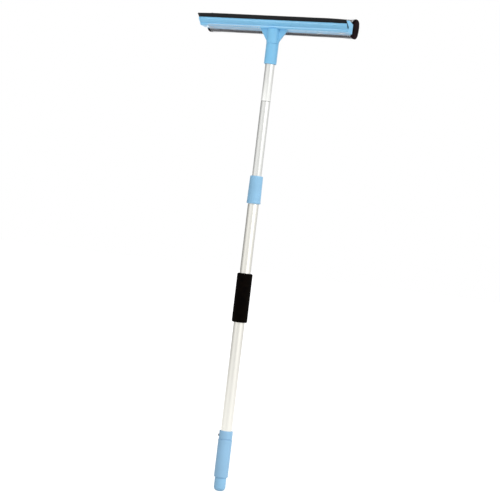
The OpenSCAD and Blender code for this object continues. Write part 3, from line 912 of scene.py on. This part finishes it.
def camera():
    """Camera level with the middle of the pole, to the right of the blade's side, and rolled a little."""
    azimuth, roll, distance = math.radians(27), math.radians(6.8145), 3.3
    target = Vector((0.0038, 0.0018, 0.48606))
    back = Vector((math.sin(azimuth), -math.cos(azimuth), 0))
    right = Vector((math.cos(azimuth), math.sin(azimuth), 0))
    up = Vector((0, 0, 1))
    image_right = right * math.cos(roll) + up * math.sin(roll)
    image_up = up * math.cos(roll) - right * math.sin(roll)
    data = bpy.data.cameras.new("camera")
    data.sensor_width, data.lens = 36, 118.66
    obj = bpy.data.objects.new("camera", data)
    bpy.context.scene.collection.objects.link(obj)
    obj.location = target + back * distance
    rotation = np.array((image_right, image_up, back)).T
    matrix = obj.matrix_world.copy()
    for i in range(3):
        for j in range(3):
            matrix[i][j] = rotation[i][j]
        matrix[i][3] = obj.location[i]
    obj.matrix_world = matrix
    bpy.context.scene.camera = obj
    return back, right


def studio(back, right):
    """White backdrop, a soft panorama of light round the object, a pale floor and two soft lamps."""
    world = bpy.data.worlds.new("studio")
    bpy.context.scene.world = world
    world.use_nodes = True
    tree = world.node_tree
    tree.nodes.clear()

    def add(kind, **settings):
        made = tree.nodes.new(kind)
        for key, value in settings.items():
            setattr(made, key, value)
        return made

    def dot(vector):
        made = add("ShaderNodeVectorMath", operation="DOT_PRODUCT")
        tree.links.new(coords.outputs["Generated"], made.inputs[0])
        made.inputs[1].default_value = vector
        return made.outputs["Value"]

    coords = add("ShaderNodeTexCoord")
    angle = add("ShaderNodeMath", operation="ARCTAN2")
    tree.links.new(dot(right), angle.inputs[0])
    tree.links.new(dot(back), angle.inputs[1])
    share = add("ShaderNodeMapRange")
    for socket, value in zip(("From Min", "From Max"), (-math.pi, math.pi)):
        share.inputs[socket].default_value = value
    tree.links.new(angle.outputs["Value"], share.inputs["Value"])

    def panorama(stops, low, high):
        """Light round the horizon, as (degrees from the camera, brightness), and its change upwards."""
        brightest = 1.4
        ramp = add("ShaderNodeValToRGB")
        ramp.color_ramp.interpolation = "EASE"
        elements = ramp.color_ramp.elements
        for i, (degrees, value) in enumerate(stops):
            if i == 0:
                element = elements[0]
            elif i == len(stops) - 1:
                element = elements[-1]
            else:
                element = elements.new((degrees + 180) / 360)
            element.position = (degrees + 180) / 360
            element.color = (*[value / brightest] * 3, 1)
        tree.links.new(share.outputs["Result"], ramp.inputs["Fac"])
        height = add("ShaderNodeMapRange")
        span = (-0.6, 1, brightest * low, brightest * high)
        for socket, value in zip(("From Min", "From Max", "To Min", "To Max"), span):
            height.inputs[socket].default_value = value
        tree.links.new(dot((0, 0, 1)), height.inputs["Value"])
        around = add("ShaderNodeBackground")
        tree.links.new(ramp.outputs["Color"], around.inputs["Color"])
        tree.links.new(height.outputs["Result"], around.inputs["Strength"])
        return around

    def choose(factor, first, second):
        made = add("ShaderNodeMixShader")
        tree.links.new(path.outputs[factor], made.inputs["Fac"])
        tree.links.new(first.outputs[0], made.inputs[1])
        tree.links.new(second.outputs[0], made.inputs[2])
        return made

    # What shiny surfaces mirror, and the softer light that falls on the rest
    mirrored = panorama([(-180, 0.45), (-125, 0.32), (-95, 0.58), (-78, 0.95), (-60, 1.2),
                         (-40, 1.05), (-14, 0.88), (5, 0.86), (25, 1.05), (45, 1.3),
                         (66, 1.3), (92, 1.02), (122, 0.85), (180, 0.6)], 0.45, 1.25)
    falling = panorama([(-180, 0.2), (-130, 0.1), (-90, 0.15), (-60, 0.55), (-30, 0.9), (0, 1.05),
                        (30, 1.2), (60, 1.35), (90, 1.1), (130, 0.5), (180, 0.25)], 0.7, 1.45)
    white, path = add("ShaderNodeBackground"), add("ShaderNodeLightPath")
    white.inputs["Color"].default_value = (1, 1, 1, 1)
    out = add("ShaderNodeOutputWorld")
    lit = choose("Is Diffuse Ray", mirrored, falling)
    tree.links.new(choose("Is Camera Ray", lit, white).outputs[0], out.inputs["Surface"])

    for name, at, aim, size, watts, spread in (
            ("key", back * 1.6 + right * 1.3 + Vector((0, 0, 1.7)), 0.6, 1.2, 7, 180),
            ("low", Vector((-back.x * 1.2, back.y * 1.2, 0.06)), 0.94, 0.5, 0.45, 35)):
        lamp = bpy.data.lights.new(name, "AREA")
        lamp.size, lamp.energy, lamp.spread = size, watts, math.radians(spread)
        obj = bpy.data.objects.new(name, lamp)
        bpy.context.scene.collection.objects.link(obj)
        obj.location = at
        obj.rotation_euler = (Vector((0, 0, aim)) - at).to_track_quat("-Z", "Y").to_euler()

    reach = 30
    floor = add_mesh("floor", [(-reach / MM, -reach / MM, 0), (reach / MM, -reach / MM, 0),
                               (reach / MM, reach / MM, 0), (-reach / MM, reach / MM, 0)], [[0, 1, 2, 3]])
    material = bpy.data.materials.new("floor")
    material.use_nodes = True
    shader = material.node_tree.nodes["Principled BSDF"]
    shader.inputs["Base Color"].default_value = (0.32, 0.32, 0.32, 1)
    shader.inputs["Roughness"].default_value = 0.9
    shader.inputs["Emission Color"].default_value = (1, 1, 1, 1)
    nodes, links = material.node_tree.nodes, material.node_tree.links
    seen = nodes.new("ShaderNodeLightPath")
    lift = nodes.new("ShaderNodeMapRange")
    lift.inputs["To Min"].default_value, lift.inputs["To Max"].default_value = 0.9, 0.2
    links.new(seen.outputs["Is Diffuse Ray"], lift.inputs["Value"])
    links.new(lift.outputs["Result"], shader.inputs["Emission Strength"])
    floor.data.materials.append(material)


back, right = camera()
bpy.context.scene.view_settings.view_transform = "Standard"

end_cap()
hand_grip()
grip_ring()
outer_tube()
foam_grip()
lock_collar()
sliding_tubes()
pole_tip()
head_body()
rubber_blade()
sponge()
net_cover()
net_staples()
KEPT = {"grip_screw": "dark_steel", "guide_bush": "nylon", "tube_connector": "black_plastic",
        "lock_plug": "black_plastic", "lock_cam": "nylon", "cam_washer": "bright_steel",
        "cam_screw": "dark_steel", "sponge_carrier": "head_plastic"}
for kept_node, kept_slot in KEPT.items():
    keep_cad(kept_node, kept_slot)
studio(back, right)
